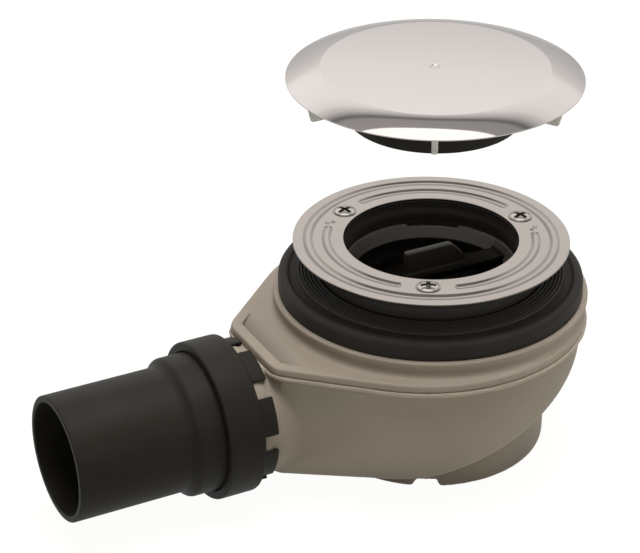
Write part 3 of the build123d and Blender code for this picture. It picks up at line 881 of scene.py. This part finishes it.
# The named attribute marks the cross recesses for the painted shade on the screws.
marked = {"Geometry": screw, "Name": "recess", "Value": 1 - recess.ramp(0.10, 0.35)}
screw = Link.node(tree, "GeometryNodeStoreNamedAttribute", marked, data_type="FLOAT", domain="POINT")
copy_count = int(screw_sizes["screw_count"])
sites = Link.node(tree, "GeometryNodeMeshCircle", {"Vertices": copy_count, "Radius": 0.001})
across = size.screw_circle / 1000
number = Link.node(tree, "GeometryNodeInputIndex")
angle = size.first_turn + number * math.tau / size.screw_count
spot = Link.node(tree, "ShaderNodeCombineXYZ", {
    0: across * angle.math("COSINE", angle),
    1: across * angle.math("SINE", angle),
    2: size.seat_height / 1000,
})
sites = Link.node(tree, "GeometryNodeSetPosition", {"Geometry": sites, "Position": spot})
last_turn = last_cross_turn * (number - 1.0).most(0.0)
lean = Link.node(tree, "ShaderNodeCombineXYZ", {2: cross_turn + last_turn})
copies = {"Points": sites, "Instance": screw, "Rotation": lean}
screws = Link.node(tree, "GeometryNodeInstanceOnPoints", copies)
flange_screws = piece_from_tree("flange_screws_set", tree, screws, screw_steel, screw_sizes)
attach(flange_screws, "trap")
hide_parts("flange_screws")

# Dip tube: the lift-out insert that reaches down into the water of the well, moulded in black plastic.
# Its funnel has three wide gaps in its rim, and a blade stands up on a bridge across it to pull it by.
dip_sizes = dict(
    rim_radius=34.6,
    rim_edge=0.6,
    rim_top=77.2,
    gap_half_width=10.85,
    gap_depth=1.2,
    first_gap=math.radians(58.6),
    seat_height=69.0,
    funnel_radius=31.0,
    funnel_height=71.5,
    tube_radius=27.0,
    wall=2.0,
    foot_height=13.0,
    bridge_height=72.5,
    bridge_half_width=4.5,
    bridge_half_thickness=1.5,
    blade_middle=1.35,
    blade_half_length=13.25,
    blade_half_thickness=1.6,
    blade_top=84.0,
    blade_corner=5.6,
)
diagonal = 1.414
gap_slope = 0.7
gap_start = 30.0
bridge_inset = 1.0
# Painted light makes the funnel paler, and what lies deeper is dull and changes colour with its depth:
# painted light low in the tube and on the blade, painted shade on the bridge.
deep_tube_painted_light = (0.120, 0.104, 0.088, 1)
bridge_painted_shade = (0.014, 0.012, 0.010, 1)
blade_painted_light = (0.085, 0.076, 0.060, 1)
funnel_painted_light = (0.140, 0.121, 0.100, 1)
depth_share = 0.85
dip_plastic = plastic("dip_plastic", (0.036, 0.031, 0.025), clouding=0.10, smooth=0.34, depth=0.12)
dip_tree = dip_plastic.node_tree
x, y, z = surface_place(dip_plastic)
stops = [(0.0, deep_tube_painted_light), (0.2, bridge_painted_shade), (0.80, bridge_painted_shade), (0.90, blade_painted_light)]
depth_light_and_shade = z.ramp(63.0, 76.0).colours(stops)
tinted(dip_plastic, depth_share, depth_light_and_shade)
funnel_light_share = off_axis(x, y).ramp(30.9, 31.3) * abs(y).ramp(4.6, 5.4)
tinted(dip_plastic, funnel_light_share, funnel_painted_light)
deep = (1 - funnel_light_share) * (1 - z.ramp(74.2, 75.0))
dull_sockets = {"Base Color": depth_light_and_shade, "Roughness": 0.9, "Specular IOR Level": 0.0}
dull = Link.node(dip_tree, "ShaderNodeBsdfPrincipled", dull_sockets)
satin = Link(dip_tree.nodes["Principled BSDF"].outputs["BSDF"])
mixed = Link.node(dip_tree, "ShaderNodeMixShader", {0: deep, 1: satin, 2: dull})
dip_tree.links.new(mixed.socket, dip_tree.nodes["Material Output"].inputs["Surface"])
tree, size, (x, y, z) = shape_tree("dip_tube", dip_sizes)
turn = off_axis(x, y)
rim = (turn - size.rim_radius).most(z - size.rim_top, 0.4).most(size.seat_height - z, 0.4)
tube = (turn - size.tube_radius).most(z - size.funnel_height).most(size.foot_height - z, 0.6)
solid = rim.least(tube, 0.8)
flare_width = size.rim_radius - size.rim_edge - size.funnel_radius
flare = flare_width / (size.rim_top - size.funnel_height)
funnel = turn - size.funnel_radius - (z - size.funnel_height) * flare
throat = (turn - size.funnel_radius - z + size.funnel_height) / diagonal
bore = (turn - size.tube_radius + size.wall).least(throat.most(funnel, 0.4))
solid = solid.most(-bore, 0.4)
third = size.first_gap.math("ARCTAN2", y, x) - size.first_gap
third = third * (3 / math.tau)
from_gap = (third - third.math("ROUND", third)) * (math.tau / 3)
aside = abs(turn * from_gap.math("SINE", from_gap)) - size.gap_half_width
aside = aside - (z - size.rim_top) * gap_slope
gap = aside.most(size.rim_top - size.gap_depth - z, 0.3).most(gap_start - turn)
solid = solid.most(-gap, 0.3)
bridge_level = abs(z - size.bridge_height) - size.bridge_half_thickness
bridge = (abs(y) - size.bridge_half_width).most(bridge_level, 0.8)
bridge = bridge.most(turn - size.rim_radius + bridge_inset)
along = x - size.blade_middle
blade = (abs(along) - size.blade_half_length).most(abs(y) - size.blade_half_thickness, 1.2)
corner = (along + z - size.blade_half_length - size.blade_top + size.blade_corner) / diagonal
blade = blade.most(z - size.blade_top, 1.2).most(corner, 1.5).most(size.bridge_height - z)
solid = solid.least(bridge, 0.8).least(blade, 1.0)
skin = moulded(tree, solid, low=(-35.5, -35.5, 11.5), high=(35.5, 35.5, 85.5), steps=(0.6, 0.6, 0.6))
dip_tube = piece_from_tree("dip_tube_moulding", tree, skin, dip_plastic, dip_sizes)
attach(dip_tube, "trap")
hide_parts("dip_tube")

# Dip tube ring: the rubber ring round the dip tube that closes the joint with the sleeve.
# Moulded rubber, out of sight; it keeps its CAD shape and takes the rubber finish.
refinished("dip_tube_o_ring", seal_rubber)

# Outlet seal: the rubber ring in the socket of the neck that closes the joint with the spigot's nose.
# Moulded rubber, out of sight; it keeps its CAD shape and takes the rubber finish.
refinished("outlet_seal", seal_rubber)

# Outlet spigot: the plain black pipe end for the drain, with a wider root and a collar behind it.
# Moulded in one piece; the snap ring pulls its collar against the neck of the lower shell.
outlet_height = 32.0
along_outlet = Matrix.Translation((0, 0, outlet_height / 1000)) @ Matrix.Rotation(math.radians(-90), 4, "Y")
spigot_points = rounded([
    (21.8, 86.0, 0.0), (23.6, 86.0, 0.5), (23.6, 93.7, 0.0), (29.8, 93.7, 0.4), (29.8, 100.7, 0.4),
    (27.8, 100.7, 0.3), (27.8, 114.3, 2.4), (25.9, 115.9, 0.8), (25.0, 117.6, 1.5), (25.0, 163.5, 0.7),
    (22.4, 163.5, 0.5), (22.4, 114.5, 2.0), (25.2, 111.9, 2.0), (25.2, 100.7, 1.0), (21.8, 97.3, 1.0),
])
outlet_spigot = turned(
    "outlet_spigot_moulding", lambda angle: spigot_points, 256, black_plastic, place=along_outlet,
)
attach(outlet_spigot, "trap")
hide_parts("outlet_spigot")

# Snap ring: a black ring with eight sprung fingers that hook over the bead of the neck and hold the spigot.
# Moulded in one piece; the slots between the fingers leave the pale neck to be seen.
ring_sizes = dict(
    outlet_height=32.0,
    ring_radius=31.7,
    ring_bore=30.5,
    front_hole=28.0,
    front_lip=3.3,
    finger_radius=28.8,
    finger_bore=27.8,
    hook_bore=26.9,
    hook_width=1.8,
    finger_tip=82.3,
    ring_shoulder=89.3,
    ring_back=2.0,
    ring_front=104.2,
    slot_half_width=3.39,
    finger_count=8.0,
)
finger_root = 2.0
hole_lead = 1.0
tree, size, (x, y, z) = shape_tree("snap_ring", ring_sizes)
drop = z - size.outlet_height
ring = off_axis(y, drop)
along = -x
finger = (ring - size.finger_radius).most(size.finger_tip - along, 0.4)
finger = finger.most(along - size.ring_shoulder - finger_root)
drum = (ring - size.ring_radius).most(size.ring_shoulder - along, 0.9).most(along - size.ring_front, 1.6)
solid = finger.least(drum, 0.5)
past_lip = along - size.ring_front + size.front_lip
hook_bore = (ring - size.hook_bore).most(past_lip)
finger_bore = (ring - size.finger_bore).most(size.finger_tip + size.hook_width - along, 0.3).most(past_lip)
ring_bore = (ring - size.ring_bore).most(size.ring_shoulder + size.ring_back - along, 0.3).most(past_lip, 0.3)
front_hole = (ring - size.front_hole).most(size.ring_front - size.front_lip - hole_lead - along)
solid = solid.most(-hook_bore.least(finger_bore).least(ring_bore).least(front_hole), 0.4)
turn = y.math("ARCTAN2", y, drop) * (size.finger_count / math.tau)
from_slot = (turn - turn.math("ROUND", turn)) / (size.finger_count / math.tau)
across = abs(ring * turn.math("SINE", from_slot))
slot = (across - size.slot_half_width).most(along - size.ring_shoulder, 0.3)
solid = solid.most(-slot, 0.5)
skin = moulded(tree, solid, low=(-105.5, -33, -1), high=(-81, 33, 65), steps=(0.4, 0.42, 0.42))
snap_ring = piece_from_tree("snap_ring_moulding", tree, skin, black_plastic, ring_sizes)
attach(snap_ring, "trap")
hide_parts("snap_ring")

# Cover plate: the bright stainless cap, pressed from sheet, with a flat top, a rounded flank and a thin edge.
# Polished, with a very fine turned grain and a small rivet sunk in its middle.
cover_rim = 157.3
cover_rise = 4.9
cover_crown = 0.3
cover_radius = 57.6
plateau_radius = 44.4
rim_edge = 0.5
cover_sheet = 1.0
flank_lead = 0.6
rivet_radius = 1.7
rivet_edge = 0.5
rivet_dish = 0.45


def cover_face(radius):
    """Height of the cap's upper face over its rim."""
    shoulder = cover_rise - cover_crown
    if radius < plateau_radius:
        dish = rivet_dish * (1 - eased(radius, rivet_radius - rivet_edge, rivet_radius + rivet_edge))
        return shoulder + cover_crown * (1 - (radius / plateau_radius) ** 2) - dish
    share = (radius - plateau_radius) / (cover_radius - plateau_radius)
    return shoulder - (shoulder - rim_edge) * (flank_lead * share + (1 - flank_lead) * share ** 2)


def cover_section():
    """The cap's section: the upper face from the middle out, the edge and the underside back in."""
    spread = [0.25 * step for step in range(12)]
    spread += [3.0 + (plateau_radius - 3.1) * step / 24 for step in range(25)]
    spread += [plateau_radius + (cover_radius - plateau_radius - 0.02) * step / 40 for step in range(41)]
    upper = [(radius, cover_rim + cover_face(radius)) for radius in spread]
    edge = [(cover_radius, cover_rim + rim_edge), (cover_radius, cover_rim + 0.1)]
    lower = []
    for radius in reversed(spread):
        lower.append((max(radius - 0.3, 0.0), max(cover_rim + cover_face(radius) - cover_sheet, cover_rim)))
    return upper + edge + lower


cover_colour = (0.725, 0.668, 0.648)
cover_steel = steel("cover_steel", cover_colour, smooth=0.035, stretch=2600.0, depth=0.002, dulling=0.015)
cover_points = cover_section()
cover_plate = turned("cover_plate_pressing", lambda angle: cover_points, 288, cover_steel, sharp=12)
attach(cover_plate, "cover")
# The cover's pieces are kept out of mirror images, which would put blotches in the grooves of the flange.
cover_plate.visible_glossy = False
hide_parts("cover_plate")

# Cover carrier: the grey moulding under the cap, a plate with six radial ribs that stand on the flange.
# One moulded piece; every second rib has a leg that reaches down beside the collar.
carrier_sizes = dict(
    plate_radius=40.0,
    plate_top=160.7,
    plate_thickness=1.6,
    rib_count=6.0,
    rib_half_thickness=1.15,
    rib_foot_radius=53.6,
    rib_foot_height=150.1,
    rib_lean=0.248,
    rib_step_radius=47.0,
    rib_step=3.0,
    rib_top_at_edge=156.55,
    rib_edge_radius=55.2,
    flank_slope=0.31,
    leg_inner=31.8,
    leg_side=33.85,
    leg_outer=34.45,
    leg_low=148.75,
    leg_foot=140.6,
)
rib_tuck = 0.2
legless_rise = 20.0
grey_plastic = plastic("grey_plastic", (0.82, 0.79, 0.77), clouding=0.03, smooth=0.38, depth=0.10)
tree, size, (x, y, z) = shape_tree("cover_carrier", carrier_sizes)
turn = off_axis(x, y)
plate = (turn - size.plate_radius).most(z - size.plate_top, 0.4)
plate = plate.most(size.plate_top - size.plate_thickness - z, 0.4)
spoke = y.math("ARCTAN2", y, x) * (size.rib_count / math.tau)
from_rib = (spoke - spoke.math("ROUND", spoke)) / (size.rib_count / math.tau)
across = abs(turn * spoke.math("SINE", from_rib)) - size.rib_half_thickness
foot = (size.rib_foot_height - z).most(size.rib_step_radius - turn, 0.6)
arm = (size.rib_foot_height + size.rib_step - z).most(size.leg_inner - turn)
hold = (size.leg_low - z).most(size.leg_inner - turn).most(turn - size.leg_outer, 0.3)
second = spoke / 2
bare = abs(second - second.math("ROUND", second)).ramp(0.24, 0.26) * legless_rise
leg = (size.leg_foot - z).most(size.leg_side - turn).most(turn - size.leg_outer, 0.2) + bare
rib = foot.least(arm, 0.6).least(hold, 0.6).least(leg, 0.2)
roof = z - size.rib_top_at_edge - size.flank_slope * (size.rib_edge_radius - turn)
rib = rib.most(roof).most(z - size.plate_top + rib_tuck)
rib = rib.most(turn - size.rib_foot_radius - size.rib_lean * (z - size.rib_foot_height), 0.5)
rib = rib.most(across, 0.5)
solid = plate.least(rib, 0.5)
skin = moulded(tree, solid, low=(-56, -56, 140), high=(56, 56, 162), steps=(0.5, 0.5, 0.5))
cover_carrier = piece_from_tree("cover_carrier_moulding", tree, skin, grey_plastic, carrier_sizes)
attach(cover_carrier, "cover")
cover_carrier.visible_glossy = False
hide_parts("cover_carrier")

# Cover collar: the black hoop inside the legs, which drops into the inlet and centres the cover.
# Moulded in one piece, with rounded edges.
collar_points = rounded([(31.8, 140.9, 0.4), (33.8, 140.9, 0.4), (33.8, 148.7, 0.3), (31.8, 148.7, 0.3)])
cover_collar = turned("cover_collar_hoop", lambda angle: collar_points, 240, black_plastic)
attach(cover_collar, "cover")
cover_collar.visible_glossy = False
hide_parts("cover_collar")
